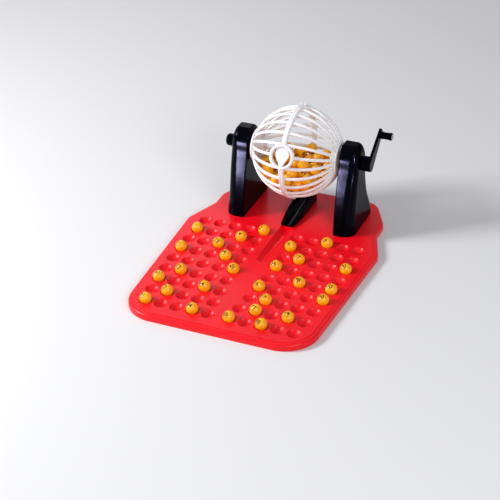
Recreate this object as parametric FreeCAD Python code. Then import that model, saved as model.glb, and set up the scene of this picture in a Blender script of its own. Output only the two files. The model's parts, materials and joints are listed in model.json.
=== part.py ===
"""Tabletop bingo machine: a numbered tray, two towers, a crank-turned ball cage, a ramp and ninety balls.

Millimetres, +Z up, +Y to the back, +X towards the crank. The origin is on the table, under the middle of
the tray. Each function makes one piece, or one group of identical pieces, and export() writes it to
parts/NAME.step.
"""

import FreeCAD, Part
import math
import os

from FreeCAD import Vector

# ---------------------------------------------------------------- driving dimensions
BALL_R = 5.5                    # ninety identical balls
SOCKET_PITCH_X = 15.25          # between columns of sockets
SOCKET_PITCH_Y = 17.9           # between rows of sockets
SOCKET_ROWS = 9
SOCKET_COLUMNS = 10             # five each side of the lane
MIDDLE_ROW_Y = -35.0

PANEL_Z = 6.6                   # the tray's top panel
LEDGE_DROP = 0.5                # the border round the panel is lower than the panel
LEDGE_WIDTH = 4.2
TRAY_WALL = 1.8
TRAY_EDGE_R = 2.4
TRAY_HALF_DEPTH = 127.5
# Corners of the right side in plan, front to back: across, along, rounding radius.
TRAY_RIGHT_CORNERS = [(88.5, -TRAY_HALF_DEPTH, 32.0),
                      (97.4, 38.0, 16.0),
                      (84.2, 73.0, 8.0),
                      (84.6, 92.0, 18.0),
                      (66.0, TRAY_HALF_DEPTH, 16.0)]

SOCKET_DEPTH = 3.6
SOCKET_BOWL_R = 7.3             # the bowl is a little larger than the ball
SOCKET_RIM_R = 6.7              # where the softened rim meets the panel

AXIS_Y = 83.6                   # the cage's axis runs along X through (AXIS_Y, AXIS_Z)
AXIS_Z = 73.2
TOWER_RISE = AXIS_Z - PANEL_Z

CAGE_R = 44.0                   # outside of the bars
BAR_THICK = 2.4                 # radial
BAR_WIDTH = 2.8
BAR_COUNT = 24
RING_HALF_WIDTH = 2.2           # each half of the cage carries half the ring
RING_IN_R = 41.4
RING_OUT_R = 45.4
POLE_X = 41.2                   # inner face of the end discs
POLE_DISC_R = 16.5
POLE_DISC_THICK = 2.0

PORT_ANGLE = 20.3               # degrees above the horizontal, facing the front
PORT_IN_R = 9.4
PORT_OUT_R = 11.9
PORT_NEAR = 41.2                # radial ends of the port's collar
PORT_FAR = 46.2
LUG_ANGLES = (PORT_ANGLE + 90, PORT_ANGLE + 180, PORT_ANGLE + 270)

TOWER_IN_X = 46.0               # face towards the cage
COVER_THICK = 2.0
TOWER_OUT_X = 64.4              # outer face at the height of the axle
HEAD_HALF = 15.5                # half the depth of a tower at the axle
HEAD_RISE = 19.4                # from the axle to the top of the dome's curve
FOOT_FRONT_SPREAD = 14.0        # how much further the foot reaches than the head
FOOT_BACK_SPREAD = 17.5
FOOT_SKIRT = 9.0                # height of the foot's upright back
FOOT_CORNER_R = 12.0            # outer corners of a tower, in plan
HEAD_CORNER_R = 8.0
TOWER_WALL = 2.0
TOWER_EDGE_R = 1.6

SHAFT_R = 4.0
RUNNING_GAP = 0.05              # radial, between a shaft and its bearing
PEG_SIDE = 6.0                  # square drive between an axle and the cage

CRANK_LENGTH = 31.0
CRANK_TILT = 52.0               # degrees the arm leans back from upright at rest
ARM_THICK = 2.6

SCREW_R = 1.3
SCREW_HEAD_R = 2.6
SCREW_HEAD_THICK = 1.6

# The balls already called, each standing in the socket of its own number.
CALLED = (5, 8, 11, 14, 16, 23, 27, 30, 31, 34, 36, 45, 48, 50,
          52, 56, 60, 61, 64, 67, 72, 77, 79, 81, 84, 86, 88)
CAGE_BALL_COUNT = 90 - len(CALLED)

X_AXIS, Y_AXIS, Z_AXIS = Vector(1, 0, 0), Vector(0, 1, 0), Vector(0, 0, 1)
CAGE_CENTRE = Vector(0, AXIS_Y, AXIS_Z)


# ---------------------------------------------------------------- small tools
def export(name, shape):
    """Writes one piece, or a list of identical ones, to its own STEP file."""
    if isinstance(shape, (list, tuple)):
        shape = Part.makeCompound(list(shape))
    elif shape.ShapeType == "Compound" and len(shape.Solids) == 1:
        shape = shape.Solids[0]
    shape.exportStep(os.path.join("parts", name + ".step"))
    print(f"{name:24s} solids {len(shape.Solids):3d} valid {shape.isValid()} volume {shape.Volume:10.1f}")


def rounded_wire(corners, place):
    """A closed wire through corners (a, b, radius), each rounded; place(a, b) gives the 3-D point."""
    count = len(corners)
    stops = []
    for i, (a, b, radius) in enumerate(corners):
        here = Vector(a, b, 0)
        back = (Vector(corners[i - 1][0], corners[i - 1][1], 0) - here).normalize()
        ahead = (Vector(corners[(i + 1) % count][0], corners[(i + 1) % count][1], 0) - here).normalize()
        if radius == 0:
            stops.append((here, None, here))
            continue
        half = back.getAngle(ahead) / 2
        reach = radius / math.tan(half)
        middle = here + (back + ahead).normalize() * (radius / math.sin(half) - radius)
        stops.append((here + back * reach, middle, here + ahead * reach))
    edges = []
    for i, (start, middle, end) in enumerate(stops):
        if middle is not None:
            points = [place(p.x, p.y) for p in (start, middle, end)]
            edges.append(Part.Arc(*points).toShape())
        following = stops[(i + 1) % count][0]
        if (following - end).Length > 1e-6:
            edges.append(Part.makeLine(place(end.x, end.y), place(following.x, following.y)))
    return Part.Wire(edges)


def mirrored_corners(right_side):
    """Corners down the right side, front to back, completed with their mirror image in X."""
    return right_side + [(-a, b, radius) for a, b, radius in reversed(right_side)]


def slab(wire, direction):
    return Part.Face(wire).extrude(direction)


def rod(start, end, radius):
    along = end - start
    return Part.makeCylinder(radius, along.Length, start, along)


def x_rod(x0, x1, y, z, radius):
    return rod(Vector(x0, y, z), Vector(x1, y, z), radius)


def box(x0, x1, y0, y1, z0, z1):
    return Part.makeBox(x1 - x0, y1 - y0, z1 - z0, Vector(x0, y0, z0))


def edges_where(shape, test):
    """Edges whose every sampled point passes the test."""
    found = []
    for edge in shape.Edges:
        points = [edge.valueAt(edge.FirstParameter + t * (edge.LastParameter - edge.FirstParameter))
                  for t in (0.0, 0.25, 0.5, 0.75, 1.0)]
        if all(test(p) for p in points):
            found.append(edge)
    return found


def mirrored_x(shape):
    return shape.mirror(Vector(0, 0, 0), X_AXIS)


def merge(first, *others):
    return first.multiFuse(list(others)).removeSplitter()


# ---------------------------------------------------------------- tray
def tray_outline(inset=0.0):
    """The tray's corners in plan: straight front, spreading sides, a waist and a narrower back."""
    corners = mirrored_corners(TRAY_RIGHT_CORNERS)
    count = len(corners)
    moved = []
    for i, (x, y, radius) in enumerate(corners):
        here = Vector(x, y, 0)
        before, after = corners[i - 1], corners[(i + 1) % count]
        arriving = (here - Vector(before[0], before[1], 0)).normalize()
        leaving = (Vector(after[0], after[1], 0) - here).normalize()
        inward = Z_AXIS.cross(arriving) + Z_AXIS.cross(leaving)
        shift = inward * (inset / (1 + arriving.dot(leaving)))
        convex = arriving.cross(leaving).z > 0
        moved.append((x + shift.x, y + shift.y, radius - inset if convex else radius + inset))
    return moved


def socket_centre(row, column):
    """Middle of a socket at panel level; row 0 is at the front, column 0 at the left."""
    t = (row - (SOCKET_ROWS - 1) / 2) / ((SOCKET_ROWS - 1) / 2)
    half_lane = SOCKET_PITCH_X * (1.12 + 0.225 * t - 0.245 * t * t)
    side = -1 if column < SOCKET_COLUMNS // 2 else 1
    steps = column - SOCKET_COLUMNS // 2 if side > 0 else SOCKET_COLUMNS // 2 - 1 - column
    y = MIDDLE_ROW_Y + (row - (SOCKET_ROWS - 1) / 2) * SOCKET_PITCH_Y
    return Vector(side * (half_lane + steps * SOCKET_PITCH_X), y, PANEL_Z)


def socket_number(row, column):
    """Sockets are numbered left to right from the back row."""
    return (SOCKET_ROWS - 1 - row) * SOCKET_COLUMNS + column + 1


def all_sockets():
    return [(socket_number(r, c), socket_centre(r, c))
            for r in range(SOCKET_ROWS) for c in range(SOCKET_COLUMNS)]


def socket_cutter(centre):
    """A spherical bowl whose rim is softened by a short cone."""
    bowl = Part.makeSphere(SOCKET_BOWL_R, centre + Vector(0, 0, SOCKET_BOWL_R - SOCKET_DEPTH))
    rim_depth, spread = 0.45, 1.0
    rim = Part.makeCone(SOCKET_RIM_R - spread, SOCKET_RIM_R + spread, 2 * rim_depth,
                        centre - Vector(0, 0, rim_depth))
    keep = Part.makeCylinder(SOCKET_RIM_R + 2, SOCKET_DEPTH + 2, centre - Vector(0, 0, SOCKET_DEPTH + 1))
    return bowl.common(keep).fuse(rim)


GROOVE_R = 6.5
GROOVE_BACK_Y, GROOVE_FRONT_Y = 55.0, -7.5
GROOVE_BACK_DEPTH, GROOVE_FRONT_DEPTH = 4.0, 3.0


def groove_tool(radius):
    """The lane's ball groove, deeper at the ramp, with a round front end; a larger radius wraps it."""
    back = Vector(0, GROOVE_BACK_Y + radius - GROOVE_R, PANEL_Z + GROOVE_R - GROOVE_BACK_DEPTH)
    front = Vector(0, GROOVE_FRONT_Y, PANEL_Z + GROOVE_R - GROOVE_FRONT_DEPTH)
    return rod(back, front, radius).fuse(Part.makeSphere(radius, front))


TOWER_SCREW_PLACES = [(side * 56.0, AXIS_Y + dy) for side in (-1, 1) for dy in (-19.0, 19.0)]
RIGHT_BASE_SCREWS = [(x, y) for x, y in TOWER_SCREW_PLACES if x > 0]
RAMP_PEG_YS = (66.0, 104.0)
RAMP_PEG_R = 1.6

LEDGE_Z = PANEL_Z - LEDGE_DROP
UNDERSIDE_Z = LEDGE_Z - TRAY_WALL        # under the panel
BOSS_Z = UNDERSIDE_Z - 2.0               # lower end of the screw bosses
SHELL = 1.6                              # thickness under the bowls and the groove
CROSS_RIB_YS = (-62.0, 46.5, 122.0)
LONG_RIB_XS = (-38.0, 38.0)
RIB_HALF = 0.8


def tray_slab(inset, z, height):
    return slab(rounded_wire(tray_outline(inset), lambda a, b: Vector(a, b, z)), Vector(0, 0, height))


def tray_ribs():
    """Ribs under the panel: one along the middle, three across, and one under each tower."""
    front, back = -TRAY_HALF_DEPTH, TRAY_HALF_DEPTH
    top = UNDERSIDE_Z + 0.4
    ribs = [box(x - RIB_HALF, x + RIB_HALF, CROSS_RIB_YS[1], CROSS_RIB_YS[2], 0, top) for x in LONG_RIB_XS]
    ribs += [box(-98, 98, y - RIB_HALF, y + RIB_HALF, 0, top) for y in CROSS_RIB_YS]
    middle = box(-RIB_HALF, RIB_HALF, front, back, 0, top)
    return middle.multiFuse(ribs).common(tray_slab(TRAY_WALL * 0.5, 0, top))


def base_tray():
    outer = tray_slab(0, 0, LEDGE_Z)
    outer = outer.makeFillet(TRAY_EDGE_R, edges_where(outer, lambda p: p.z > LEDGE_Z - 0.01))
    plateau = tray_slab(LEDGE_WIDTH, LEDGE_Z - 0.5, LEDGE_DROP + 0.5)
    plateau = plateau.makeFillet(0.3, edges_where(plateau, lambda p: p.z > PANEL_Z - 0.01))
    tray = outer.fuse(plateau).cut(tray_slab(TRAY_WALL, -1, UNDERSIDE_Z + 1))

    under = [Part.makeSphere(SOCKET_BOWL_R + SHELL, c + Vector(0, 0, SOCKET_BOWL_R - SOCKET_DEPTH))
             for _, c in all_sockets()]
    under.append(groove_tool(GROOVE_R + SHELL))
    below_panel = box(-100, 100, -130, 130, 0, PANEL_Z - 1.0)
    bumps = under[0].multiFuse(under[1:]).common(below_panel)
    bosses = [Part.makeCylinder(4.2, UNDERSIDE_Z + 1 - BOSS_Z, Vector(x, y, BOSS_Z))
              for x, y in TOWER_SCREW_PLACES]
    tray = tray.multiFuse([bumps, tray_ribs()] + bosses)

    cutters = [socket_cutter(c) for _, c in all_sockets()]
    cutters += [rod(Vector(x, y, -1), Vector(x, y, 12), SCREW_R + 0.25) for x, y in TOWER_SCREW_PLACES]
    cutters += [rod(Vector(0, y, -1), Vector(0, y, 12), RAMP_PEG_R + 0.1) for y in RAMP_PEG_YS]
    tray = tray.cut(Part.makeCompound(cutters)).cut(groove_tool(GROOVE_R))
    return tray.removeSplitter()


# ---------------------------------------------------------------- ramp
RAMP_FRONT_Y, RAMP_BACK_Y = 54.0, 114.0
RAMP_FLARE_Y = 74.0
RAMP_FRONT_HALF, RAMP_BACK_HALF = 6.4, 8.6
RAMP_FRONT_H, RAMP_BACK_H = 3.2, 12.2
RAMP_WALL = 1.5


def ramp_plan(inset, z):
    front, back = RAMP_FRONT_HALF - inset, RAMP_BACK_HALF - inset
    corners = [(front, RAMP_FRONT_Y, 0), (back, RAMP_FLARE_Y, 20), (back, RAMP_BACK_Y - inset, 4.0 - inset)]
    return rounded_wire(mirrored_corners(corners), lambda a, b: Vector(a, b, z))


def ramp_side(front_h, back_h, front_y, back_y):
    """A block under a plane that rises from the front to the back, in panel-relative heights."""
    points = [(front_y, 0), (back_y, 0), (back_y, back_h), (front_y, front_h), (front_y, 0)]
    face = Part.Face(Part.makePolygon([Vector(-20, y, PANEL_Z + h) for y, h in points]))
    return face.extrude(Vector(40, 0, 0))


def ball_ramp():
    """An open trough that catches a ball under the cage and rolls it into the tray's groove."""
    body = slab(ramp_plan(0, PANEL_Z), Vector(0, 0, 20))
    body = body.common(ramp_side(RAMP_FRONT_H, RAMP_BACK_H, RAMP_FRONT_Y, RAMP_BACK_Y))
    body = body.makeFillet(0.6, edges_where(body, lambda p: p.z > PANEL_Z + RAMP_FRONT_H - 0.05))
    floor_front, floor_back = 0.9, 4.6
    trough_r = BALL_R + 0.7
    rise = (floor_back - floor_front) / (RAMP_BACK_Y - RAMP_FRONT_Y)

    def trough_axis(y):
        return Vector(0, y, PANEL_Z + floor_front + (y - RAMP_FRONT_Y) * rise + trough_r)

    trough = rod(trough_axis(RAMP_FRONT_Y - 5), trough_axis(RAMP_BACK_Y - RAMP_WALL - trough_r), trough_r)
    trough = trough.fuse(Part.makeSphere(trough_r, trough_axis(RAMP_BACK_Y - RAMP_WALL - trough_r)))
    catch = slab(ramp_plan(RAMP_WALL, PANEL_Z), Vector(0, 0, 20))
    above_floor = ramp_side(30, 30, RAMP_FLARE_Y - 6, RAMP_BACK_Y)
    above_floor.translate(Vector(0, 0, 5.2))
    body = body.cut(trough).cut(catch.common(above_floor))
    pegs = [rod(Vector(0, y, UNDERSIDE_Z - 0.3), Vector(0, y, PANEL_Z + 0.5), RAMP_PEG_R)
            for y in RAMP_PEG_YS]
    return merge(body, *pegs)


# ---------------------------------------------------------------- towers
def tower_sections():
    """(height above the panel, front and back from the axis, outer face, corner radius) up a tower."""
    rows = []
    for height in (0.0, 5.0, 13.0, 25.0, 39.0, 53.0, 65.0):
        t = height / TOWER_RISE
        front = -(HEAD_HALF + FOOT_FRONT_SPREAD * (1 - t ** 1.5))
        rise = max(0.0, height - FOOT_SKIRT) / (TOWER_RISE - FOOT_SKIRT)
        back = HEAD_HALF + FOOT_BACK_SPREAD * (1 - rise) ** 2
        flare = 1.8 * max(0.0, 1 - height / 30.0) ** 2
        corner = FOOT_CORNER_R + (HEAD_CORNER_R - FOOT_CORNER_R) * t
        rows.append((height, front, back, TOWER_OUT_X + flare, corner))
    for angle in (22.0, 42.0, 59.0, 73.0):
        c, s = math.cos(math.radians(angle)), math.sin(math.radians(angle))
        rows.append((TOWER_RISE + HEAD_RISE * s, -HEAD_HALF * c, HEAD_HALF * c,
                     TOWER_OUT_X - 6.0 * (1 - c), HEAD_CORNER_R * c))
    return rows


def tower_body(inset):
    """Flat towards the cage and rounded outside, narrowing from a flared foot to a domed head."""
    rows = tower_sections()
    wires = []
    for height, front, back, outer, radius in rows:
        z = PANEL_Z + height * (1 - inset / rows[-1][0])
        shrink = min(inset, 0.6 * back)
        corner = max(0.5, radius - 0.8 * shrink)
        corners = [(TOWER_IN_X - inset, front + shrink, 0), (outer - inset, front + shrink, corner),
                   (outer - inset, back - shrink, corner), (TOWER_IN_X - inset, back - shrink, 0)]
        wires.append(rounded_wire(corners, lambda a, b: Vector(a, AXIS_Y + b, z)))
    return Part.makeLoft(wires, True, False)


def tower_outside():
    """The whole tower as a solid, with softened edges at the flat side and round the top."""
    body = tower_body(0.0)
    soft = [e for e in body.Edges if e.BoundBox.ZMax > PANEL_Z + 1
            and (e.BoundBox.XMax < TOWER_IN_X + 0.01 or e.BoundBox.ZMin > PANEL_Z + TOWER_RISE + 18)]
    return body.makeFillet(TOWER_EDGE_R, soft)


COVER_X = TOWER_IN_X + COVER_THICK
COVER_SCREWS = ((11.0, 30.0), (1.0, 50.0))     # from the axis along Y, and above the panel


def right_tower_shell():
    """The outer shell: hollow, open towards the cage, with bosses for the axle and the screws."""
    keep = box(COVER_X, 80, 0, 200, 0, 120)
    hollow = tower_body(TOWER_WALL).common(box(0, 80, 0, 200, PANEL_Z + TOWER_WALL, 120))
    inside = tower_body(TOWER_WALL * 0.5).common(keep)
    adds = [x_rod(COVER_X + 2.0, TOWER_OUT_X - 1, AXIS_Y, AXIS_Z, SHAFT_R + 3.0)]
    for dy, dz in COVER_SCREWS:
        adds.append(x_rod(COVER_X, TOWER_OUT_X - 1, AXIS_Y + dy, PANEL_Z + dz, SCREW_R + 1.8))
    for x, y in RIGHT_BASE_SCREWS:
        adds.append(rod(Vector(x, y, PANEL_Z + 0.5), Vector(x, y, PANEL_Z + 12), SCREW_R + 2.2))
    shell = tower_outside().common(keep).cut(hollow)
    shell = merge(shell, *[a.common(inside) for a in adds])
    cuts = [x_rod(COVER_X - 5, 75, AXIS_Y, AXIS_Z, SHAFT_R + RUNNING_GAP)]
    for dy, dz in COVER_SCREWS:
        cuts.append(x_rod(COVER_X - 5, COVER_X + 9.0, AXIS_Y + dy, PANEL_Z + dz, SCREW_R))
    for x, y in RIGHT_BASE_SCREWS:
        cuts.append(rod(Vector(x, y, PANEL_Z - 5), Vector(x, y, PANEL_Z + 10.0), SCREW_R))
    return shell.cut(Part.makeCompound(cuts)).removeSplitter()


def right_tower_cover():
    """The flat cover on the cage side, with a lip inside the shell and a bearing for the axle."""
    plate = tower_outside().common(box(0, COVER_X, 0, 200, 0, 120))
    lip_space = box(COVER_X - 0.5, COVER_X + 1.5, 0, 200, PANEL_Z + TOWER_WALL + 0.3, 120)
    lip = tower_body(TOWER_WALL + 0.15).cut(tower_body(TOWER_WALL + 1.5)).common(lip_space)
    keep_off = [x_rod(COVER_X, COVER_X + 5, AXIS_Y + dy, PANEL_Z + dz, SCREW_R + 2.0)
                for dy, dz in COVER_SCREWS]
    keep_off += [rod(Vector(x, y, PANEL_Z), Vector(x, y, PANEL_Z + 13), SCREW_R + 2.4)
                 for x, y in RIGHT_BASE_SCREWS]
    bearing = x_rod(TOWER_IN_X, COVER_X + 1.9, AXIS_Y, AXIS_Z, SHAFT_R + 2.5)
    cover = merge(plate, lip.cut(Part.makeCompound(keep_off)), bearing)
    cuts = [x_rod(TOWER_IN_X - 2, COVER_X + 5, AXIS_Y, AXIS_Z, SHAFT_R + RUNNING_GAP)]
    for dy, dz in COVER_SCREWS:
        y, z = AXIS_Y + dy, PANEL_Z + dz
        cuts.append(x_rod(TOWER_IN_X - 2, COVER_X + 2, y, z, SCREW_R + 0.2))
        cuts.append(x_rod(TOWER_IN_X - 2, TOWER_IN_X + 1.2, y, z, SCREW_HEAD_R + 0.2))
    return cover.cut(Part.makeCompound(cuts)).removeSplitter()


def screw(head_outer, direction, length):
    """A cross-recess screw with a low round head; head_outer is the top of the head on its axis."""
    head = Part.makeCylinder(SCREW_HEAD_R, SCREW_HEAD_THICK, head_outer, direction)
    head = head.makeFillet(0.5, [e for e in head.Edges
                                 if abs((e.CenterOfMass - head_outer).dot(direction)) < 1e-4
                                 and e.Curve.TypeId == "Part::GeomCircle"])
    shank = Part.makeCylinder(SCREW_R, length, head_outer + direction * SCREW_HEAD_THICK, direction)
    across = direction.cross(X_AXIS if abs(direction.x) < 0.5 else Y_AXIS).normalize()
    other = direction.cross(across)
    whole = head.fuse(shank)
    for a, b in ((across, other), (other, across)):
        corner = head_outer - a * 1.4 - b * 0.3 - direction
        slot = Part.Face(Part.makePolygon([corner, corner + a * 2.8, corner + a * 2.8 + b * 0.6,
                                           corner + b * 0.6, corner]))
        whole = whole.cut(slot.extrude(direction * 1.8))
    return whole.removeSplitter()


def tower_cover_screws():
    right = [screw(Vector(TOWER_IN_X - 0.4, AXIS_Y + dy, PANEL_Z + dz), X_AXIS, 7.5)
             for dy, dz in COVER_SCREWS]
    return right + [mirrored_x(s) for s in right]


def tower_base_screws():
    return [screw(Vector(x, y, BOSS_Z - SCREW_HEAD_THICK), Z_AXIS, 11.0) for x, y in TOWER_SCREW_PLACES]


# ---------------------------------------------------------------- cage
def port_frame():
    """Outward direction of the ball port, and the direction up along the ring beside it."""
    a = math.radians(PORT_ANGLE)
    return Vector(0, -math.cos(a), math.sin(a)), Vector(0, math.sin(a), math.cos(a))


def on_ring(angle_deg, radius):
    """A point of the cage's equator: 0 degrees faces the front and 90 the top."""
    a = math.radians(angle_deg)
    return CAGE_CENTRE + Vector(0, -math.cos(a), math.sin(a)) * radius


BAR_END = math.acos(POLE_DISC_R * 0.8 / CAGE_R)


def cage_bar(angle_deg):
    """One meridian bar of the right half, from the middle of the cage towards the end disc."""
    out = (on_ring(angle_deg, 1) - CAGE_CENTRE).normalize()
    side = X_AXIS.cross(out)
    inner, outer = CAGE_R - BAR_THICK, CAGE_R
    corner = [out * inner - side * (BAR_WIDTH / 2), out * outer - side * (BAR_WIDTH / 2),
              out * outer + side * (BAR_WIDTH / 2), out * inner + side * (BAR_WIDTH / 2)]
    section = Part.Face(Part.makePolygon([CAGE_CENTRE + p for p in corner + corner[:1]]))
    return section.revolve(CAGE_CENTRE, out.cross(X_AXIS), math.degrees(BAR_END))


GATE_INNER = 42.5                # inner face of the gate, from the cage's centre
GATE_THICK = 1.6
GATE_R = 6.6
GATE_UP = 2.4                    # middle of the gate's disc above the port's middle
GATE_PIN_OUT, GATE_PIN_DOWN = 43.4, 8.6
GATE_PIN_R = 0.8
GATE_PIN_HALF = 4.6
KNUCKLE_R = 1.55                 # round end of the gate about its pin
KNUCKLE_HALF = 1.6
STOP_R = 2.6                     # the gate closes against this
STOP_UP = 10.9
LUG_R = 2.6
LUG_RADIUS = 43.4                # distance of the clip lugs from the cage's centre
LUG_PIN_R = 0.9
LUG_PIN_RADIUS = 44.4


def gate_pin_centre():
    out, up = port_frame()
    return CAGE_CENTRE + out * GATE_PIN_OUT - up * GATE_PIN_DOWN


def cage_lug(angle_deg):
    """Half of a clip lug on the ring, round in side view."""
    centre = on_ring(angle_deg, LUG_RADIUS)
    return x_rod(0, RING_HALF_WIDTH + 0.9, centre.y, centre.z, LUG_R)


def port_bore():
    out, _ = port_frame()
    return rod(CAGE_CENTRE + out * (PORT_NEAR - 4), CAGE_CENTRE + out * (PORT_FAR + 4), PORT_IN_R)


def cage_ring_right():
    """Half of the middle ring, with its clip lugs, half of the port's collar and the gate's stop."""
    out, up = port_frame()
    right_side = box(0, 20, 0, 200, 0, 200)
    ring = x_rod(0, RING_HALF_WIDTH, AXIS_Y, AXIS_Z, RING_OUT_R)
    ring = ring.makeFillet(0.8, edges_where(ring, lambda p: p.x > RING_HALF_WIDTH - 0.01))
    ring = ring.cut(x_rod(-1, RING_HALF_WIDTH + 1, AXIS_Y, AXIS_Z, RING_IN_R))
    collar = rod(CAGE_CENTRE + out * PORT_NEAR, CAGE_CENTRE + out * PORT_FAR, PORT_OUT_R)
    far_rim = [e for e in collar.Edges if e.Curve.TypeId == "Part::GeomCircle"
               and (e.Curve.Center - CAGE_CENTRE).Length > PORT_FAR - 0.1]
    collar = collar.makeFillet(0.8, far_rim).common(right_side)
    whole = ring.multiFuse([collar] + [cage_lug(a) for a in LUG_ANGLES])
    inner_ball = Part.makeSphere(RING_IN_R - 0.2, CAGE_CENTRE)
    stop_at = CAGE_CENTRE + up * STOP_UP
    stop = rod(stop_at + out * (GATE_INNER - 1.0), stop_at + out * (GATE_INNER - 0.1), STOP_R)
    whole = whole.cut(port_bore().fuse(inner_ball)).fuse(stop.common(right_side))
    pins = []
    for angle in LUG_ANGLES:
        p = on_ring(angle, LUG_PIN_RADIUS)
        pins.append(x_rod(-1, RING_HALF_WIDTH + 3, p.y, p.z, LUG_PIN_R))
    c = gate_pin_centre()
    pins.append(x_rod(-1, GATE_PIN_HALF, c.y, c.z, GATE_PIN_R))
    pins.append(x_rod(-1, KNUCKLE_HALF + 0.3, c.y, c.z, KNUCKLE_R + 0.35))
    return whole.cut(Part.makeCompound(pins)).removeSplitter()


def square_bar(x0, x1, half):
    """A square bar on the cage's axis."""
    return box(x0, x1, AXIS_Y - half, AXIS_Y + half, AXIS_Z - half, AXIS_Z + half)


def cage_end_right():
    """The flat disc where the bars meet, with a square socket for the axle's peg."""
    disc = x_rod(POLE_X, POLE_X + POLE_DISC_THICK, AXIS_Y, AXIS_Z, POLE_DISC_R)
    disc = disc.makeFillet(0.9, edges_where(disc, lambda p: p.x > POLE_X + POLE_DISC_THICK - 0.01))
    hub = x_rod(POLE_X - 7.0, TOWER_IN_X - 0.6, AXIS_Y, AXIS_Z, PEG_SIDE * 0.5 + 3.6)
    return merge(disc, hub).cut(square_bar(POLE_X - 10, TOWER_IN_X + 1, PEG_SIDE / 2 + 0.02))


def cage_bars_right(ring, end):
    """All the bars of one half, each ending at the ring's side and at the end disc."""
    rough = [cage_bar(PORT_ANGLE + i * 360.0 / BAR_COUNT) for i in range(BAR_COUNT)]
    within = box(0, POLE_X, 0, 200, 0, 200).cut(x_rod(-1, RING_HALF_WIDTH, AXIS_Y, AXIS_Z, 60))
    taken = Part.makeCompound([ring, end, port_bore()] + cage_clip_pins())
    bars = []
    for bar in rough:
        trimmed = bar.common(within).cut(taken)
        bars.append(max(trimmed.Solids, key=lambda solid: solid.Volume))
    return bars


def cage_clip_pins():
    reach = RING_HALF_WIDTH + 0.9
    pins = []
    for angle in LUG_ANGLES:
        p = on_ring(angle, LUG_PIN_RADIUS)
        pins.append(x_rod(-reach, reach, p.y, p.z, LUG_PIN_R))
    return pins


def ball_gate():
    """A spoon-shaped flap in the port, hung on a pin at the port's lower edge and swinging outwards."""
    out, up = port_frame()
    centre = CAGE_CENTRE + out * GATE_INNER + up * GATE_UP
    disc = Part.makeCylinder(GATE_R, GATE_THICK, centre, out)
    disc = disc.makeFillet(0.6, [e for e in disc.Edges if e.Curve.TypeId == "Part::GeomCircle"
                                 and (e.Curve.Center - centre).Length > GATE_THICK - 0.1])
    dish_r = 16.0
    dish = Part.makeSphere(dish_r, centre + out * (GATE_THICK - 0.7 + dish_r))
    pin = gate_pin_centre()
    low = CAGE_CENTRE + out * GATE_INNER - up * GATE_PIN_DOWN
    neck_half, neck_rise = 5.9, 8.0
    corners = [low - X_AXIS * KNUCKLE_HALF, low + X_AXIS * KNUCKLE_HALF,
               low + X_AXIS * neck_half + up * neck_rise, low - X_AXIS * neck_half + up * neck_rise]
    neck = Part.Face(Part.makePolygon(corners + corners[:1])).extrude(out * GATE_THICK)
    knuckle = x_rod(-KNUCKLE_HALF, KNUCKLE_HALF, pin.y, pin.z, KNUCKLE_R)
    gate = merge(disc, neck, knuckle).cut(dish)
    return gate.cut(x_rod(-9, 9, pin.y, pin.z, GATE_PIN_R + RUNNING_GAP)).removeSplitter()


def gate_pin():
    c = gate_pin_centre()
    return x_rod(-GATE_PIN_HALF + 0.05, GATE_PIN_HALF - 0.05, c.y, c.z, GATE_PIN_R)


# ---------------------------------------------------------------- axles and crank
def axle_stub(end_x):
    """Square peg into the cage, then a round shaft through the tower."""
    start = TOWER_IN_X - 0.6
    return [square_bar(POLE_X - 6.5, start + 0.2, PEG_SIDE / 2),
            x_rod(start + 0.1, end_x, AXIS_Y, AXIS_Z, SHAFT_R)]


def left_axle_knob():
    """The left axle and the round knob on its outer end, made for +X and mirrored."""
    knob_x = TOWER_OUT_X + 0.5
    knob = x_rod(knob_x, knob_x + 8.6, AXIS_Y, AXIS_Z, 6.0)
    knob = knob.makeFillet(2.8, edges_where(knob, lambda p: p.x > knob_x + 8.5))
    return mirrored_x(merge(knob, *axle_stub(knob_x + 1)))


def crank_direction():
    a = math.radians(CRANK_TILT)
    return Vector(0, math.sin(a), math.cos(a))


HUB_IN_X = TOWER_OUT_X + 0.5
HUB_R = 7.2
ARM_IN_X = HUB_IN_X + 6.6
ARM_OUT_X = ARM_IN_X + ARM_THICK
GRIP_PIN_R = 1.8
GRIP_R = 3.5
GRIP_LENGTH = 10.8
GRIP_RECESS_R = 2.6
GRIP_RECESS_DEPTH = 1.0
GRIP_IN_X = ARM_OUT_X + 0.3


def crank():
    """Axle, hub and tapering arm, with the pin that the grip turns on."""
    along = crank_direction()
    across = X_AXIS.cross(along)
    tip = Vector(ARM_IN_X, AXIS_Y, AXIS_Z) + along * CRANK_LENGTH
    root = Vector(ARM_IN_X, AXIS_Y, AXIS_Z)
    root_half, tip_half = HUB_R, 3.2
    tip_end = CRANK_LENGTH + 6.0
    corners = [(-root_half, -root_half, 6.4), (root_half, -root_half, 6.4),
               (tip_half, tip_end, tip_half * 0.8), (-tip_half, tip_end, tip_half * 0.8)]
    arm = slab(rounded_wire(corners, lambda a, b: root + across * a + along * b), Vector(ARM_THICK, 0, 0))
    arm = arm.makeFillet(0.7, edges_where(arm, lambda p: p.x > ARM_OUT_X - 0.01))
    hub = x_rod(HUB_IN_X, ARM_IN_X + 1, AXIS_Y, AXIS_Z, HUB_R)
    hub = hub.makeFillet(0.9, edges_where(hub, lambda p: p.x < HUB_IN_X + 0.01))
    grip_end = GRIP_IN_X + GRIP_LENGTH
    pin = x_rod(ARM_OUT_X - 1, grip_end - GRIP_RECESS_DEPTH, tip.y, tip.z, GRIP_PIN_R)
    hole = x_rod(grip_end - 7.0, grip_end + 1, tip.y, tip.z, 0.9)
    return merge(arm, hub, pin, *axle_stub(HUB_IN_X + 1)).cut(hole).removeSplitter()


def grip_axis():
    p = Vector(0, AXIS_Y, AXIS_Z) + crank_direction() * CRANK_LENGTH
    return p.y, p.z


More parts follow.
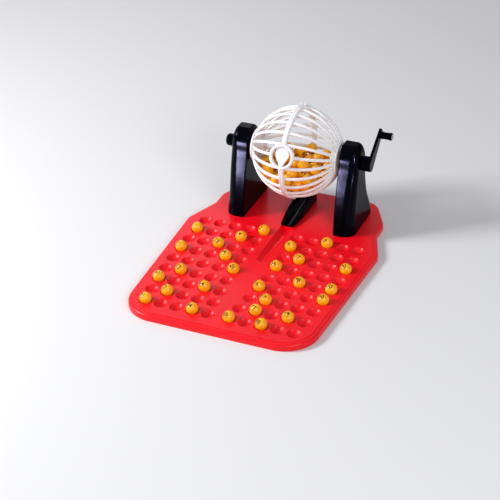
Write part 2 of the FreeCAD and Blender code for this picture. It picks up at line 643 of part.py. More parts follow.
def crank_grip():
    """A sleeve that turns on the crank's pin, slightly waisted, with a flared end."""
    y, z = grip_axis()
    end = GRIP_IN_X + GRIP_LENGTH
    bore = GRIP_PIN_R + RUNNING_GAP
    outline = [(GRIP_IN_X, bore), (GRIP_IN_X, GRIP_R - 0.2), (GRIP_IN_X + 0.5, GRIP_R + 0.1),
               (GRIP_IN_X + 4.0, GRIP_R - 0.2), (end - 2.6, GRIP_R), (end - 1.2, GRIP_R + 0.3),
               (end - 0.4, GRIP_R + 0.1), (end, GRIP_R - 0.4), (end, GRIP_RECESS_R),
               (end - GRIP_RECESS_DEPTH, GRIP_RECESS_R), (end - GRIP_RECESS_DEPTH, bore)]
    points = [Vector(x, y, z + r) for x, r in outline]
    face = Part.Face(Part.makePolygon(points + points[:1]))
    return face.revolve(Vector(0, y, z), X_AXIS, 360)


def grip_screw():
    """Holds the grip on the crank's pin; its head sits in the end of the grip."""
    y, z = grip_axis()
    end = GRIP_IN_X + GRIP_LENGTH
    head = x_rod(end - GRIP_RECESS_DEPTH + 0.05, end - 0.05, y, z, GRIP_RECESS_R - 0.2)
    shank = x_rod(end - 6.5, end - 0.9, y, z, 0.9)
    slot = box(end - 0.5, end + 1, y - 1.6, y + 1.6, z - 0.25, z + 0.25)
    return merge(head, shank).cut(slot)


# ---------------------------------------------------------------- balls
def three_sphere_points(spheres):
    """The two points at given distances from three centres, as [] or a pair of vectors."""
    (p1, r1), (p2, r2), (p3, r3) = spheres
    ex = p2 - p1
    d = ex.Length
    ex = ex * (1 / d)
    i = ex.dot(p3 - p1)
    ey = p3 - p1 - ex * i
    if ey.Length < 1e-6:
        return []
    ey.normalize()
    j = ey.dot(p3 - p1)
    x = (r1 * r1 - r2 * r2 + d * d) / (2 * d)
    y = (r1 * r1 - r3 * r3 + i * i + j * j - 2 * i * x) / (2 * j)
    square = r1 * r1 - x * x - y * y
    if square < 0:
        return []
    z = ex.cross(ey) * math.sqrt(square)
    return [p1 + ex * x + ey * y + z, p1 + ex * x + ey * y - z]


def heap_centres(count):
    """Ball centres of a settled heap in a round cage: each ball drops into the lowest free hollow."""
    wall = PORT_NEAR - BALL_R - 0.35
    apart = 2 * BALL_R + 0.45
    middle = Vector(0, 0, 0)
    tilt = math.radians(7)
    first = Vector(math.sin(tilt) * wall, 0, -math.cos(tilt) * wall)
    swing = 2 * math.asin(apart / (2 * wall))
    second = Vector(math.sin(tilt - swing) * wall, 0, -math.cos(tilt - swing) * wall)
    placed = [first, second]
    hollows = []

    def add_hollows(new):
        near = [p for p in placed if p is not new and (p - new).Length < 2 * apart]
        for n, a in enumerate(near):
            hollows.extend(three_sphere_points([(middle, wall), (new, apart), (a, apart)]))
            for b in near[n + 1:]:
                hollows.extend(three_sphere_points([(new, apart), (a, apart), (b, apart)]))

    add_hollows(second)
    while len(placed) < count:
        free = [h for h in hollows if h.Length < wall + 1e-6
                and all((h - p).Length > apart - 1e-6 for p in placed)]
        lowest = min(free, key=lambda h: (round(h.z, 4), h.x, h.y))
        hollows = free
        placed.append(lowest)
        add_hollows(lowest)
    return [CAGE_CENTRE + p for p in placed]


def cage_balls():
    return [Part.makeSphere(BALL_R, c) for c in heap_centres(CAGE_BALL_COUNT)]


def called_ball(centre):
    return Part.makeSphere(BALL_R, centre + Vector(0, 0, BALL_R - SOCKET_DEPTH + 0.02))


# ---------------------------------------------------------------- everything
def main():
    os.makedirs("parts", exist_ok=True)
    export("base_tray", base_tray())
    export("ball_ramp", ball_ramp())
    shell, cover = right_tower_shell(), right_tower_cover()
    export("right_tower_shell", shell)
    export("right_tower_cover", cover)
    export("left_tower_shell", mirrored_x(shell))
    export("left_tower_cover", mirrored_x(cover))
    export("tower_cover_screws", tower_cover_screws())
    export("tower_base_screws", tower_base_screws())
    ring, end = cage_ring_right(), cage_end_right()
    bars = cage_bars_right(ring, end)
    export("cage_ring_right", ring)
    export("cage_ring_left", mirrored_x(ring))
    export("cage_end_right", end)
    export("cage_end_left", mirrored_x(end))
    export("cage_bars_right", bars)
    export("cage_bars_left", [mirrored_x(bar) for bar in bars])
    export("cage_clip_pins", cage_clip_pins())
    export("ball_gate", ball_gate())
    export("gate_pin", gate_pin())
    export("left_axle_knob", left_axle_knob())
    export("crank", crank())
    export("crank_grip", crank_grip())
    export("grip_screw", grip_screw())
    export("cage_balls", cage_balls())
    for number, centre in all_sockets():
        if number in CALLED:
            export(f"ball_{number:02d}", called_ball(centre))


main()
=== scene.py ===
import json
import math
import random

import bpy
import bmesh
from mathutils import Matrix, Vector


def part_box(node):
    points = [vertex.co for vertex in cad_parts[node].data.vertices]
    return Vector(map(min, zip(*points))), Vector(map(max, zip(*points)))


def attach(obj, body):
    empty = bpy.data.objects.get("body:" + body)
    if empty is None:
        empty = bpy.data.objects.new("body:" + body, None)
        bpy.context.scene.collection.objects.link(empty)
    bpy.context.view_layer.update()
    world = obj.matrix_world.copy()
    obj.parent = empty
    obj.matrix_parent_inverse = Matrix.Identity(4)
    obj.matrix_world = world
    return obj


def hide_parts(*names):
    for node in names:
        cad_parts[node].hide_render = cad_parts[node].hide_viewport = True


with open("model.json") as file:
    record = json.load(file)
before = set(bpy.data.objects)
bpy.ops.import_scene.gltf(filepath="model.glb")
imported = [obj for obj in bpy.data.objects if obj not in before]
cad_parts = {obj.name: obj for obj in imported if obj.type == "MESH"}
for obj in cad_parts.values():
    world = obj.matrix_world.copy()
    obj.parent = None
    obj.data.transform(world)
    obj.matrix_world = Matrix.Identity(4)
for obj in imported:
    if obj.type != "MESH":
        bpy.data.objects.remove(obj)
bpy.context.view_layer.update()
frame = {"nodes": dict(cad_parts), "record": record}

MM = 0.001
RECORD = frame["record"]
JOINTS = {j["name"]: j for j in RECORD["behaviour"]["joints"]}


# ---------------------------------------------------------------- measures, in mm, in the shared frame
def box_mm(node):
    """Lowest and highest corner of a CAD node."""
    low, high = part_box(node)
    return low / MM, high / MM


AXIS = Vector(JOINTS["cage_spin"]["pos_m"]) / MM
PANEL_Z = box_mm("base_tray")[1].z
BALL_R = (box_mm("ball_45")[1].z - box_mm("ball_45")[0].z) / 2
CALLED = sorted(int(n[5:]) for n in frame["nodes"] if n.startswith("ball_") and n[5:].isdigit())

SOCKET_COUNT, SOCKET_DEPTH, BOWL_R = 90, 3.6, 7.3
PITCH_X, PITCH_Y, MIDDLE_ROW_Y = 15.25, 17.9, -35.0
LANE = (1.12, 0.225, -0.245)        # half the gap between the blocks in pitches, as a quadratic up the rows
NUMBER_HEIGHT = 4.2

CAGE_R = 44.0
BAR_THICK, BAR_WIDTH, BAR_EDGE_R, BAR_COUNT, BAR_STEPS = 2.4, 2.8, 0.85, 24, 36
BAR_START = 0.02                    # angle, in radians, at which a bar leaves the ring
RING_IN, RING_OUT, RING_HALF = 41.4, 45.4, 2.2
SEAM = 0.06                         # half the width of the line where the cage's halves meet
POLE_X, POLE_R, POLE_THICK = 41.2, 16.5, 2.0
BAR_END_R = POLE_R * 0.84           # where the bars end, inside the end disc
HUB_NEAR, HUB_R, HUB_FAR = 34.2, 6.6, 45.4
PORT_ANGLE, PORT_IN, PORT_OUT, PORT_NEAR, PORT_FAR = 20.3, 9.4, 11.9, 41.2, 46.2
LUG_ANGLES = [PORT_ANGLE + a for a in (90, 180, 270)]
LUG_RADIUS, LUG_R, LUG_FAR, LUG_HOLE_R = 43.4, 2.6, 3.1, 1.15
CENTRE = 0.01                       # radius that stands for the centre of a turned face

BALL_ROWS, BALL_COLUMNS = 26, 40
BALL_SEAM = (88.6, 89.4, 90.0, 90.6, 91.4)      # angles of the rows at the seam
BALL_SEAM_DEPTH = 0.05
INK_RISE, INK_SINK = 0.012, 0.06
MARK_RISE, MARK_SINK = 0.16, 0.1    # the sockets' own numbers, above and below the bowl


# ---------------------------------------------------------------- materials
def plastic(name, colour, rough, second=None, coat=0.0, grain=1400.0, bump=0.05, patch=55.0, patch_bump=0.0,
            subsurface=0.0, specular=0.5, gleam=(1, 1, 1)):
    """Moulded plastic: slow colour and gloss drift, a fine surface grain and faint scuffs."""
    mat = bpy.data.materials.new(name)
    mat.use_nodes = True
    nodes, links = mat.node_tree.nodes, mat.node_tree.links
    shader = nodes["Principled BSDF"]
    shader.inputs["Coat Weight"].default_value = coat
    shader.inputs["Coat Roughness"].default_value = 0.06
    shader.inputs["Specular IOR Level"].default_value = specular
    shader.inputs["Specular Tint"].default_value = (*gleam, 1)
    shader.inputs["Subsurface Weight"].default_value = subsurface
    shader.inputs["Subsurface Scale"].default_value = 0.002
    place = nodes.new("ShaderNodeTexCoord")

    def noise(scale, detail, distortion=0.0):
        node = nodes.new("ShaderNodeTexNoise")
        node.inputs["Scale"].default_value = scale
        node.inputs["Detail"].default_value = detail
        node.inputs["Distortion"].default_value = distortion
        links.new(place.outputs["Object"], node.inputs["Vector"])
        return node.outputs["Fac"]

    def relief(height, strength, distance):
        node = nodes.new("ShaderNodeBump")
        node.inputs["Strength"].default_value = strength
        node.inputs["Distance"].default_value = distance
        links.new(height, node.inputs["Height"])
        return node

    drift = noise(patch, 4.0)
    ramp = nodes.new("ShaderNodeValToRGB")
    dark = second or [c * 0.82 for c in colour]
    ramp.color_ramp.elements[0].position = 0.32
    ramp.color_ramp.elements[0].color = (*dark, 1)
    ramp.color_ramp.elements[1].position = 0.62
    ramp.color_ramp.elements[1].color = (*colour, 1)
    links.new(drift, ramp.inputs["Fac"])
    links.new(ramp.outputs["Color"], shader.inputs["Base Color"])

    gloss = nodes.new("ShaderNodeMapRange")
    gloss.inputs["From Min"].default_value = 0.35
    gloss.inputs["From Max"].default_value = 0.75
    gloss.inputs["To Min"].default_value = rough
    gloss.inputs["To Max"].default_value = rough + 0.10
    links.new(noise(260.0, 6.0, 1.6), gloss.inputs["Value"])
    links.new(gloss.outputs["Result"], shader.inputs["Roughness"])

    surface = relief(noise(grain, 3.0), bump, 0.0002)
    if patch_bump:
        wave = relief(drift, patch_bump, 0.002)
        links.new(surface.outputs["Normal"], wave.inputs["Normal"])
        surface = wave
    links.new(surface.outputs["Normal"], shader.inputs["Normal"])
    return mat


def steel(name):
    """Dull plated metal with the same drift and grain."""
    mat = plastic(name, (0.60, 0.60, 0.63), 0.28, (0.45, 0.45, 0.47), grain=900.0, bump=0.12)
    mat.node_tree.nodes["Principled BSDF"].inputs["Metallic"].default_value = 1.0
    return mat


RED = plastic("tray_red", (0.86, 0.003, 0.012), 0.30, (0.78, 0.002, 0.008), patch=16.0, patch_bump=0.02,
              specular=0.30)
RED_MARK = plastic("socket_number_red", (0.70, 0.002, 0.010), 0.30, specular=0.30)
BLACK = plastic("black_gloss", (0.001, 0.001, 0.003), 0.10, (0.001, 0.001, 0.002), specular=0.05,
                gleam=(0.62, 0.60, 1.0))
WHITE = plastic("cage_white", (0.90, 0.90, 0.91), 0.26, (0.86, 0.86, 0.88), coat=0.2, subsurface=0.12)
BALL = plastic("ball_yellow", (1.0, 0.47, 0.004), 0.20, (1.0, 0.39, 0.002), patch=120.0, specular=0.50,
               subsurface=0.12)
INK = plastic("ball_number_black", (0.006, 0.005, 0.005), 0.5, bump=0.0, specular=0.2)
STEEL = steel("screw_steel")


# ---------------------------------------------------------------- mesh tools
def piece(name, verts, faces, mat, body, smooth):
    """A mesh in millimetres that rides on a body; edges bent more than smooth degrees stay sharp."""
    data = bpy.data.meshes.new(name)
    data.from_pydata([Vector(v) * MM for v in verts], [], faces)
    data.validate()
    data.materials.append(mat)
    bm = bmesh.new()
    bm.from_mesh(data)
    bmesh.ops.recalc_face_normals(bm, faces=bm.faces)
    bm.to_mesh(data)
    bm.free()
    obj = bpy.data.objects.new(name, data)
    bpy.context.scene.collection.objects.link(obj)
    data.shade_smooth()
    data.set_sharp_from_angle(angle=math.radians(smooth))
    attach(obj, body)
    return obj


class Shape:
    """Gathers the vertices and faces of several solids into one piece."""

    def __init__(self):
        self.verts = []
        self.faces = []

    def add(self, verts, faces):
        base = len(self.verts)
        self.verts.extend(Vector(v) for v in verts)
        self.faces.extend(tuple(base + i for i in f) for f in faces)

    def skin(self, rings, closed_path=False):
        """Joins equal closed rings of points into a tube, with end faces unless its path is closed."""
        n = len(rings[0])
        verts = [p for ring in rings for p in ring]
        faces = []
        last = len(rings) if closed_path else len(rings) - 1
        for i in range(last):
            j = (i + 1) % len(rings)
            for k in range(n):
                m = (k + 1) % n
                faces.append((i * n + k, i * n + m, j * n + m, j * n + k))
        if not closed_path:
            faces.append(tuple(reversed(range(n))))
            faces.append(tuple((len(rings) - 1) * n + k for k in range(n)))
        self.add(verts, faces)

    def lathe(self, profile, centre, axis, start, turn, steps):
        """Turns a profile of (distance along axis, radius) about an axis; start is the zero direction."""
        axis = Vector(axis).normalized()
        u = (Vector(start) - axis * Vector(start).dot(axis)).normalized()
        v = axis.cross(u)
        full = abs(turn) >= 359.9
        count = steps if full else steps + 1
        rings = []
        for i in range(count):
            a = math.radians(turn) * i / steps
            d = u * math.cos(a) + v * math.sin(a)
            rings.append([Vector(centre) + axis * h + d * r for h, r in profile])
        self.skin(rings, closed_path=full)

    def done(self, name, mat, body, smooth, slot):
        return piece(name, self.verts, self.faces, mat, body, smooth)


def rounded_rect(w, h, r, steps):
    """A closed outline, centred, of width w and height h."""
    points = []
    for cx, cy, a0 in ((w / 2 - r, h / 2 - r, 0), (-w / 2 + r, h / 2 - r, 90), (-w / 2 + r, -h / 2 + r, 180),
                       (w / 2 - r, -h / 2 + r, 270)):
        for i in range(steps + 1):
            a = math.radians(a0 + 90.0 * i / steps)
            points.append((cx + r * math.cos(a), cy + r * math.sin(a)))
    return points


def ring_dir(angle):
    """Direction away from the cage's axis; 0 points to the front and 90 up."""
    a = math.radians(angle)
    return Vector((0, -math.cos(a), math.sin(a)))


# ---------------------------------------------------------------- cage
def cage_bars(side):
    """Round-edged meridian bars of one half; the first starts at the port's collar."""
    shape = Shape()
    x = Vector((side, 0, 0))
    outline = rounded_rect(BAR_WIDTH, BAR_THICK, BAR_EDGE_R, 4)
    middle_r = CAGE_R - BAR_THICK / 2
    end = math.acos(BAR_END_R / middle_r)
    port_edge = math.asin((PORT_IN + 0.9) / CAGE_R)
    for i in range(BAR_COUNT):
        out = ring_dir(PORT_ANGLE + i * 360.0 / BAR_COUNT)
        across = x.cross(out)
        first = BAR_START if i else port_edge
        rings = []
        for k in range(BAR_STEPS + 1):
            t = first + (end - first) * k / BAR_STEPS
            radial = out * math.cos(t) + x * math.sin(t)
            middle = AXIS + radial * middle_r
            rings.append([middle + across * a + radial * b for a, b in outline])
        shape.skin(rings)
    return shape


def push_out(points, radius):
    """Moves points that are nearer to the cage's axis than a radius out to it."""
    for p in points:
        reach = math.hypot(p.y - AXIS.y, p.z - AXIS.z)
        if reach < radius:
            p.y = AXIS.y + (p.y - AXIS.y) * radius / reach
            p.z = AXIS.z + (p.z - AXIS.z) * radius / reach


def cage_ring(side):
    """Half of the ring with a fine groove at the seam, half of the port's collar, and the clip lugs."""
    shape = Shape()
    x = Vector((side, 0, 0))
    gap = math.degrees(math.asin((PORT_IN + 1.0) / CAGE_R))
    profile = [(SEAM, RING_IN + 0.25), (0.3, RING_IN), (RING_HALF - 0.3, RING_IN),
               (RING_HALF, RING_IN + 0.3), (RING_HALF, RING_OUT - 0.75),
               (RING_HALF - 0.22, RING_OUT - 0.22), (RING_HALF - 0.75, RING_OUT),
               (0.35, RING_OUT), (SEAM, RING_OUT - 0.3)]
    # ring_dir grows clockwise about +X, so the sweep runs the other way for +X
    shape.lathe(profile, AXIS, x, ring_dir(PORT_ANGLE + gap), -side * (360.0 - 2 * gap), 180)
    out = ring_dir(PORT_ANGLE)
    up = ring_dir(PORT_ANGLE + 90)
    collar = [(PORT_NEAR, PORT_IN + 0.3), (PORT_NEAR, PORT_OUT - 0.4), (PORT_NEAR + 0.4, PORT_OUT),
              (PORT_FAR - 0.9, PORT_OUT), (PORT_FAR - 0.26, PORT_OUT - 0.26), (PORT_FAR, PORT_OUT - 0.9),
              (PORT_FAR, PORT_IN + 0.7), (PORT_FAR - 0.2, PORT_IN + 0.2), (PORT_FAR - 0.7, PORT_IN),
              (PORT_NEAR + 0.4, PORT_IN)]
    start = -up if side * out.cross(-up).x > 0 else up
    shape.lathe(collar, AXIS, out, start, 180.0, 64)
    lug = [(SEAM, CENTRE), (SEAM, LUG_R - 0.2), (0.3, LUG_R), (LUG_FAR - 0.5, LUG_R),
           (LUG_FAR - 0.15, LUG_R - 0.15), (LUG_FAR, LUG_R - 0.5), (LUG_FAR, LUG_HOLE_R),
           (LUG_FAR - 0.2, LUG_HOLE_R - 0.2), (LUG_FAR - 0.2, CENTRE)]
    for angle in LUG_ANGLES:
        first = len(shape.verts)
        shape.lathe(lug, AXIS + ring_dir(angle) * LUG_RADIUS, x, (0, 0, 1), 360, 32)
        push_out(shape.verts[first:], RING_IN + 0.02)
    return shape


def cage_end(side):
    """The disc that the bars run into, with its hub."""
    shape = Shape()
    x = Vector((side, 0, 0))
    far = POLE_X + POLE_THICK
    groove_out, groove_in, groove_depth = 11.2, 10.0, 0.35
    disc = [(POLE_X, CENTRE), (POLE_X, POLE_R - 0.4), (POLE_X + 0.35, POLE_R), (far - 0.9, POLE_R),
            (far - 0.25, POLE_R - 0.3), (far, POLE_R - 0.9), (far, groove_out),
            (far - groove_depth, groove_out - 0.3), (far - groove_depth, groove_in + 0.3), (far, groove_in),
            (far, HUB_R + 0.8), (far + 0.5, HUB_R), (HUB_FAR - 0.2, HUB_R - 0.1), (HUB_FAR, HUB_R - 0.3),
            (HUB_FAR, CENTRE)]
    shape.lathe(disc, AXIS, x, (0, 0, 1), 360, 96)
    hub = [(HUB_NEAR, CENTRE), (HUB_NEAR, HUB_R - 0.4), (HUB_NEAR + 0.4, HUB_R), (POLE_X + 0.5, HUB_R),
           (POLE_X + 0.5, CENTRE)]
    shape.lathe(hub, AXIS, x, (0, 0, 1), 360, 64)
    return shape


def cage():
    """Both halves, one piece for each CAD node."""
    for side, word in ((1, "right"), (-1, "left")):
        for part, build in (("ring", cage_ring), ("bars", cage_bars), ("end", cage_end)):
            node = f"cage_{part}_{word}"
            obj = build(side).done(node + "_moulding", WHITE, "cage", 50, "white")
            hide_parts(node)


# ---------------------------------------------------------------- balls and numbers
def ball_mesh(name, centres, body):
    """Balls with a fine moulding seam round the middle."""
    shape = Shape()
    rng = random.Random(7)
    plain = [i * 180.0 / BALL_ROWS for i in range(1, BALL_ROWS) if 2 * i != BALL_ROWS]
    for c in centres:
        turn = Matrix.Rotation(rng.uniform(0, 6.28), 3, "Z") @ Matrix.Rotation(rng.uniform(0, 3.14), 3, "X")
        rows = []
        for a in sorted(plain + list(BALL_SEAM)):
            r = BALL_R - (BALL_SEAM_DEPTH if abs(a - 90) < 0.7 else 0.0)
            height, width = r * math.cos(math.radians(a)), r * math.sin(math.radians(a))
            around = [p * math.tau / BALL_COLUMNS for p in range(BALL_COLUMNS)]
            rows.append([(width * math.cos(p), width * math.sin(p), height) for p in around])
        verts = [turn @ Vector(p) + c for row in rows for p in row]
        n = BALL_COLUMNS
        faces = []
        for i in range(len(rows) - 1):
            for k in range(n):
                m = (k + 1) % n
                faces.append((i * n + k, i * n + m, (i + 1) * n + m, (i + 1) * n + k))
        verts.append(turn @ Vector((0, 0, BALL_R)) + c)
        verts.append(turn @ Vector((0, 0, -BALL_R)) + c)
        top, bottom = len(verts) - 2, len(verts) - 1
        for k in range(n):
            faces.append((top, (k + 1) % n, k))
            faces.append((bottom, (len(rows) - 1) * n + k, (len(rows) - 1) * n + (k + 1) % n))
        shape.add(verts, faces)
    return shape.done(name, BALL, body, 60, "ball")


def flat_number(n, height):
    """(vertices, faces) of an upright number in the plane, centred, cut finely enough to be bent."""
    curve = bpy.data.curves.new("words", "FONT")
    curve.body = str(n)
    curve.size = 1.0
    curve.resolution_u = 4
    curve.offset = 0.022            # makes the strokes bolder
    curve.align_x = "CENTER"
    holder = bpy.data.objects.new("words", curve)
    data = bpy.data.meshes.new_from_object(holder)
    bpy.data.objects.remove(holder)
    bpy.data.curves.remove(curve)
    bm = bmesh.new()
    bm.from_mesh(data)
    bmesh.ops.triangulate(bm, faces=bm.faces)
    bmesh.ops.remove_doubles(bm, verts=bm.verts, dist=1e-4)
    low = Vector((min(v.co.x for v in bm.verts), min(v.co.y for v in bm.verts)))
    high = Vector((max(v.co.x for v in bm.verts), max(v.co.y for v in bm.verts)))
    scale = height / (high.y - low.y)
    for v in bm.verts:
        v.co.x = (v.co.x - (low.x + high.x) / 2) * scale
        v.co.y = (v.co.y - (low.y + high.y) / 2) * scale
    for _ in range(2):
        long_edges = [e for e in bm.edges if e.calc_length() > 0.5]
        if long_edges:
            bmesh.ops.subdivide_edges(bm, edges=long_edges, cuts=1)
            bmesh.ops.triangulate(bm, faces=bm.faces)
    verts = [(v.co.x, v.co.y) for v in bm.verts]
    faces = [tuple(v.index for v in f.verts) for f in bm.faces]
    bm.free()
    bpy.data.meshes.remove(data)
    return verts, faces


NUMBERS = {n: flat_number(n, NUMBER_HEIGHT) for n in range(1, SOCKET_COUNT + 1)}


def solid_from_sheet(shape, tops, bottoms, faces):
    """Closes a sheet of faces into a thin solid with its lower copy."""
    n = len(tops)
    used = {(f[i], f[(i + 1) % len(f)]): True for f in faces for i in range(len(f))}
    rim = [(a, b) for a, b in used if (b, a) not in used]
    all_faces = list(faces) + [tuple(n + i for i in reversed(f)) for f in faces]
    all_faces += [(b, a, n + a, n + b) for a, b in rim]
    shape.add(list(tops) + list(bottoms), all_faces)


def number_on_ball(shape, n, centre, facing, spin):
    """Prints a number, with a bar under it, on a ball; facing is the outward direction of its middle."""
    f = Vector(facing).normalized()
    right = Vector((0, 0, 1)).cross(f)
    right = right.normalized() if right.length > 1e-3 else Vector((1, 0, 0))
    up = f.cross(right)
    c, s = math.cos(spin), math.sin(spin)
    right, up = right * c + up * s, up * c - right * s
    flat, faces = (list(items) for items in NUMBERS[n])
    half = max(abs(a) for a, _ in flat)
    base = len(flat)
    steps = 8
    for i in range(steps + 1):
        a = -half + 2 * half * i / steps
        flat.append((a, -NUMBER_HEIGHT / 2 - 0.55))
        flat.append((a, -NUMBER_HEIGHT / 2 - 0.95))
    for i in range(steps):
        k = base + 2 * i
        faces.append((k, k + 1, k + 3, k + 2))

    def wrap(r):
        points = []
        for a, b in flat:
            ta, tb = a / BALL_R, b / BALL_R
            d = f * (math.cos(ta) * math.cos(tb)) + right * (math.sin(ta) * math.cos(tb)) + up * math.sin(tb)
            points.append(Vector(centre) + d * r)
        return points

    solid_from_sheet(shape, wrap(BALL_R + INK_RISE), wrap(BALL_R - INK_SINK), faces)


def socket_centre(number):
    """Middle of a socket's mouth; the sockets run left to right, ten to a row, from the back row."""
    row = 8 - (number - 1) // 10
    column = (number - 1) % 10
    t = (row - 4) / 4
    half_lane = PITCH_X * (LANE[0] + LANE[1] * t + LANE[2] * t * t)
    side = -1 if column < 5 else 1
    steps = column - 5 if side > 0 else 4 - column
    return Vector((side * (half_lane + steps * PITCH_X), MIDDLE_ROW_Y + (row - 4) * PITCH_Y, PANEL_Z))


def socket_numbers():
    """Each socket carries its own number, raised a little from the bottom of the bowl."""
    shape = Shape()
    for n, (flat, faces) in NUMBERS.items():
        bowl = socket_centre(n) + Vector((0, 0, BOWL_R - SOCKET_DEPTH))
        floor = [(a, b, -math.sqrt(BOWL_R ** 2 - a * a - b * b)) for a, b in flat]
        rise = INK_RISE if n in CALLED else MARK_RISE
        tops = [bowl + Vector((a, b, c + rise)) for a, b, c in floor]
        lows = [bowl + Vector((a, b, c - MARK_SINK)) for a, b, c in floor]
        solid_from_sheet(shape, tops, lows, faces)
    return shape.done("socket_numbers", RED_MARK, "machine_base", 30, "tray")


def heap_centres():
    """Middles of the balls in the cage, found from the CAD node's separate spheres."""
    data = frame["nodes"]["cage_balls"].data
    bm = bmesh.new()
    bm.from_mesh(data)
    bmesh.ops.remove_doubles(bm, verts=bm.verts, dist=1e-6)
    seen = set()
    centres = []
    for v in bm.verts:
        if v.index in seen:
            continue
        stack, island = [v], []
        seen.add(v.index)
        while stack:
            w = stack.pop()
            island.append(w.co.copy())
            for e in w.link_edges:
                o = e.other_vert(w)
                if o.index not in seen:
                    seen.add(o.index)
                    stack.append(o)
        low = [min(p[i] for p in island) for i in range(3)]
        high = [max(p[i] for p in island) for i in range(3)]
        centres.append(Vector([(a + b) / 2 for a, b in zip(low, high)]) / MM)
    bm.free()
    return centres


def all_balls():
    """The balls in the sockets, one piece each, and the heap in the cage, all with their numbers."""
    rng = random.Random(31)
    for n in CALLED:
        centre = socket_centre(n)
        centre.z = box_mm(f"ball_{n:02d}")[1].z - BALL_R
        body = f"ball_{n:02d}_body"
        obj = ball_mesh(f"ball_{n:02d}_moulding", [centre], body)
        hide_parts(f"ball_{n:02d}")
        shape = Shape()
        facing = Vector((-0.28 + rng.uniform(-0.2, 0.2), -0.48 + rng.uniform(-0.2, 0.2), 1.0))
        number_on_ball(shape, n, centre, facing, rng.uniform(-0.5, 0.5) + 0.1)
        shape.done(f"ball_{n:02d}_number", INK, body, 30, "ball")
    centres = heap_centres()
    obj = ball_mesh("cage_balls_moulding", centres, "ball_heap")
    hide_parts("cage_balls")
    left = [n for n in NUMBERS if n not in CALLED]
    rng.shuffle(left)
    shape = Shape()
    for n, c in zip(left, centres):
        facing = Vector((rng.uniform(-1, 1), rng.uniform(-1.4, 0.4), rng.uniform(-0.5, 1.0)))
        number_on_ball(shape, n, c, facing, rng.uniform(-3, 3))
    shape.done("cage_balls_numbers", INK, "ball_heap", 30, "ball")


# ---------------------------------------------------------------- finishes of the CAD pieces that are shown
def dress():
    """Gives every CAD node the finish of its material slot."""
    look = {"tray": RED, "black": BLACK, "white": WHITE, "ball": BALL, "steel": STEEL}
    for part in RECORD["subparts"]:
        data = frame["nodes"][part["node"]].data
        data.materials.clear()
        data.materials.append(look[part["material_slot"]])


# ---------------------------------------------------------------- floor, light, camera
STRIP_COLOUR = (0.92, 0.90, 1)
LAMPS = [
    # name, place, aim, size, power, colour, only mirrored by the towers
    ("key", (-0.92, -0.42, 0.66), (0, 0, 0.03), (0.30, 0.30), 14.0, (1, 1, 1), False),
    ("fill", (0.9, -0.8, 0.7), (0, 0, 0.04), (0.6, 0.4), 7.0, (1, 1, 1), False),
    ("sheen", (-0.62, 0.90, 0.60), (-0.03, 0, 0.02), (0.45, 0.35), 0.8, (1, 0.84, 0.98), False),
    ("strip_left", (-0.202, -0.268, 0.056), (-0.052, 0.06, 0.055), (0.028, 0.075), 2.6, STRIP_COLOUR, True),
    ("strip_right", (-0.076, -0.268, 0.056), (0.049, 0.06, 0.055), (0.028, 0.075), 2.6, STRIP_COLOUR, True),
    ("side_strip", (0.85, -0.55, 0.16), (0.06, 0.06, 0.07), (0.025, 0.30), 22.0, (0.90, 0.90, 1.0), True),
]


def lamp(name, at, aim, size, power, colour, receivers):
    """A rectangular lamp; with receivers it lights nothing and is only mirrored in them."""
    data = bpy.data.lights.new(name, "AREA")
    data.shape = "RECTANGLE"
    data.size, data.size_y = size
    data.energy = power
    data.color = colour
    obj = bpy.data.objects.new(name, data)
    obj.location = at
    obj.rotation_euler = (Vector(aim) - Vector(at)).to_track_quat("-Z", "Y").to_euler()
    obj.visible_camera = False
    if receivers:
        obj.visible_diffuse = False
        obj.light_linking.receiver_collection = receivers
    bpy.context.scene.collection.objects.link(obj)


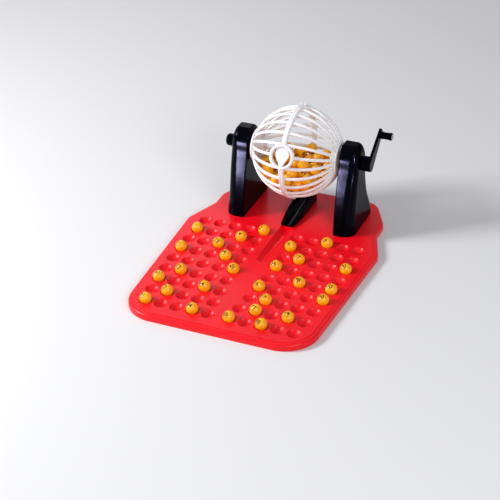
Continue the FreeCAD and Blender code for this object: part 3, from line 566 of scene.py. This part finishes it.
def studio():
    """Pale floor, even sky and the lamps."""
    bpy.ops.mesh.primitive_plane_add(size=6, location=(0, 0, -0.0002))
    floor = bpy.context.object
    floor.name = "floor"
    mat = bpy.data.materials.new("floor_pale")
    mat.use_nodes = True
    shader = mat.node_tree.nodes["Principled BSDF"]
    shader.inputs["Base Color"].default_value = (0.74, 0.74, 0.75, 1)
    shader.inputs["Roughness"].default_value = 0.75
    floor.data.materials.append(mat)

    world = bpy.data.worlds.new("studio")
    bpy.context.scene.world = world
    world.use_nodes = True
    world.node_tree.nodes["Background"].inputs["Color"].default_value = (0.92, 0.94, 1.0, 1)
    world.node_tree.nodes["Background"].inputs["Strength"].default_value = 0.40

    towers = bpy.data.collections.new("lit_by_strips")
    for side in ("left", "right"):
        for part in ("shell", "cover"):
            towers.objects.link(frame["nodes"][f"{side}_tower_{part}"])
    for name, at, aim, size, power, colour, towers_only in LAMPS:
        lamp(name, at, aim, size, power, colour, towers if towers_only else None)
    bpy.context.scene.view_settings.view_transform = "Standard"


VIEW_AZIMUTH, VIEW_ELEVATION, VIEW_ROLL = 24.12, 32.31, -1.68      # degrees
VIEW_DISTANCE, VIEW_LENS = 1.2991, 100.44                          # metres; millimetres on a 36 mm sensor
VIEW_TARGET = (-0.01487, -0.00181, PANEL_Z * MM + 0.00286)


def camera():
    """Looks from the front, from the crank's side, downwards."""
    azimuth, elevation, roll = (math.radians(a) for a in (VIEW_AZIMUTH, VIEW_ELEVATION, VIEW_ROLL))
    away = Vector((math.sin(azimuth) * math.cos(elevation), -math.cos(azimuth) * math.cos(elevation),
                   math.sin(elevation)))
    data = bpy.data.cameras.new("camera")
    data.sensor_width = 36.0
    data.lens = VIEW_LENS
    data.clip_start, data.clip_end = 0.01, 20
    obj = bpy.data.objects.new("camera", data)
    right = Vector((0, 0, 1)).cross(away).normalized()
    up = away.cross(right)
    right, up = right * math.cos(roll) + up * math.sin(roll), up * math.cos(roll) - right * math.sin(roll)
    target = Vector(VIEW_TARGET)
    obj.matrix_world = Matrix((
        (right.x, up.x, away.x, target.x + away.x * VIEW_DISTANCE),
        (right.y, up.y, away.y, target.y + away.y * VIEW_DISTANCE),
        (right.z, up.z, away.z, target.z + away.z * VIEW_DISTANCE),
        (0, 0, 0, 1)))
    bpy.context.scene.collection.objects.link(obj)
    bpy.context.scene.camera = obj


dress()
cage()
all_balls()
socket_numbers()
studio()
camera()
